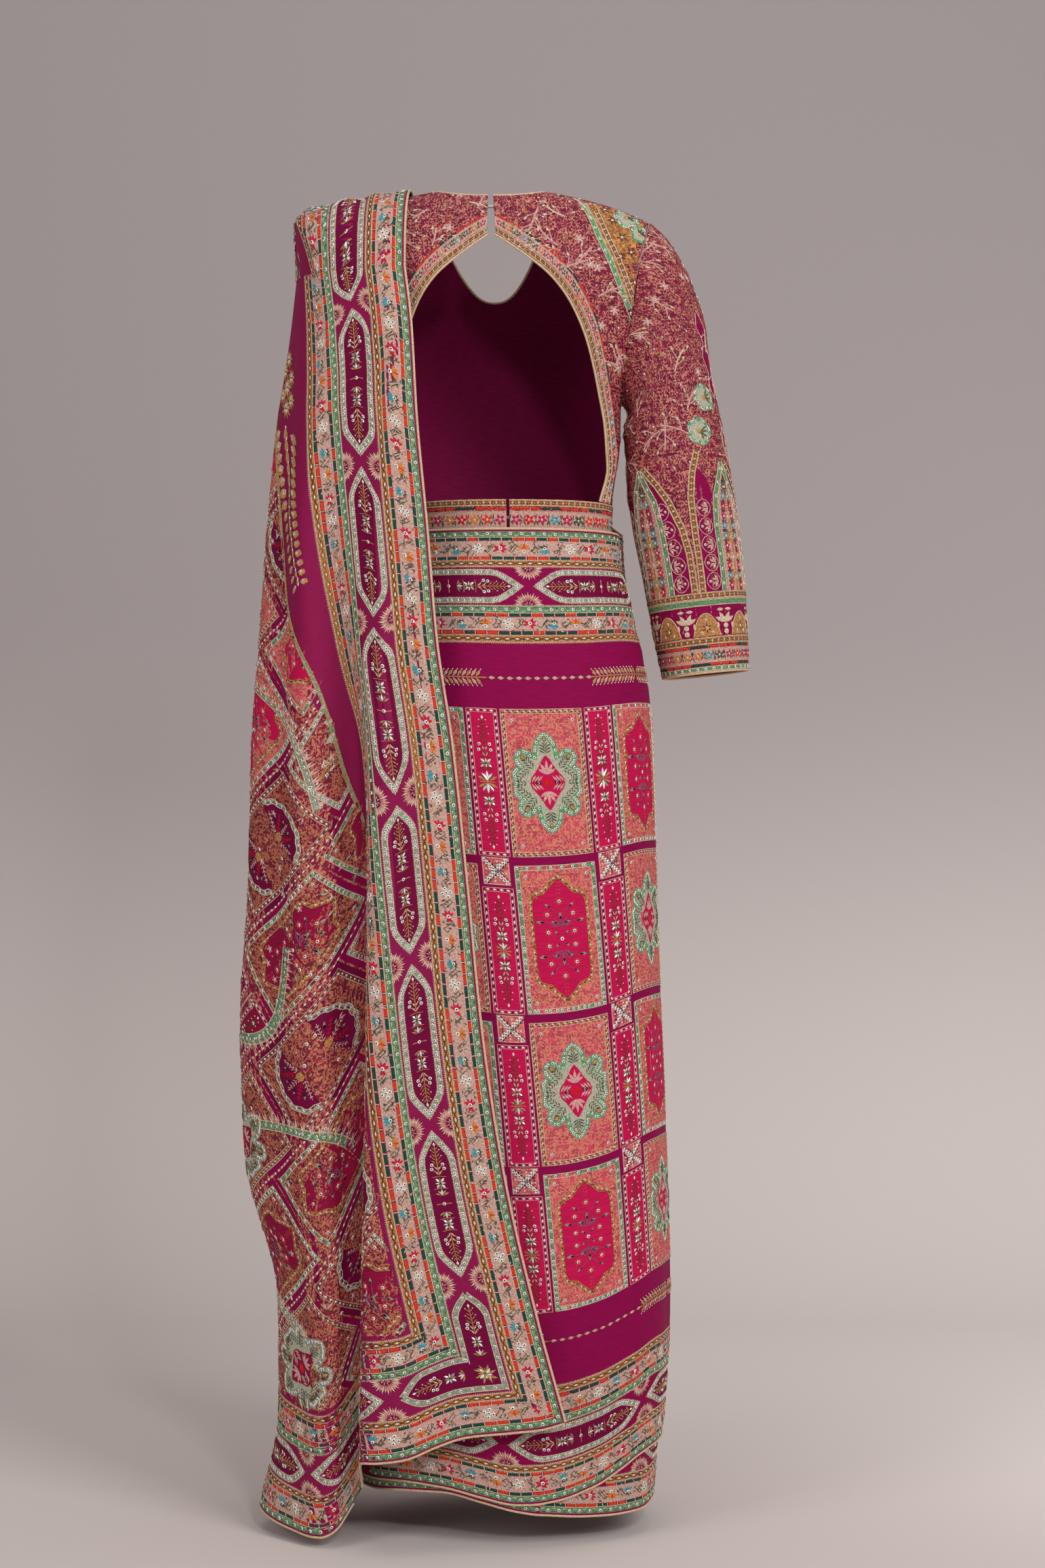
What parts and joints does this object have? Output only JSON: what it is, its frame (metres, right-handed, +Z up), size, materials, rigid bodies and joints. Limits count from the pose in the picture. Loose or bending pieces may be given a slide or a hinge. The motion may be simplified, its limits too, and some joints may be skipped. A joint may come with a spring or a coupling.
{
  "type": "draped saree with blouse",
  "caption": "Saree in its worn drape, hollow inside, with pleats in front, an end hung over the left shoulder and a three-quarter-sleeve blouse with an open back.",
  "frame": {"origin": "centre of the wearer's waist at the saree's top edge", "axes": "+Z up; the garment faces -Y; +X is the wearer's left"},
  "size_m": [0.5551, 0.3338, 1.4524],
  "materials": {
    "blouse": "matte silk weave with raised embroidery",
    "saree": "matte silk with raised embroidery",
    "pallu": "matte silk with dense raised embroidery",
    "binding": "matte corded edge",
    "metal": "satin"
  },
  "bodies": {
    "root": {"blouse_front": "blouse", "blouse_back_left": "blouse", "blouse_back_right": "blouse", "blouse_band": "blouse", "sleeve_left": "blouse", "sleeve_right": "blouse", "sleeve_end_left": "blouse", "sleeve_end_right": "blouse", "saree_first_wrap": "saree", "saree_second_wrap": "saree", "saree_front": "saree", "saree_pleats": "saree", "pallu_shoulder": "pallu", "pallu_back": "pallu", "pallu_fall": "pallu", "binding_arch_left": "binding", "binding_arch_right": "binding", "binding_fall_end": "binding", "binding_hem": "binding", "binding_neck_front": "binding", "binding_neck_left": "binding", "binding_neck_right": "binding", "binding_pallu_edge": "binding", "binding_pallu_end": "binding", "binding_shoulder_edge": "binding", "binding_waist": "binding", "hook_band": "metal", "hook_neck": "metal"}
  },
  "joints": []
}
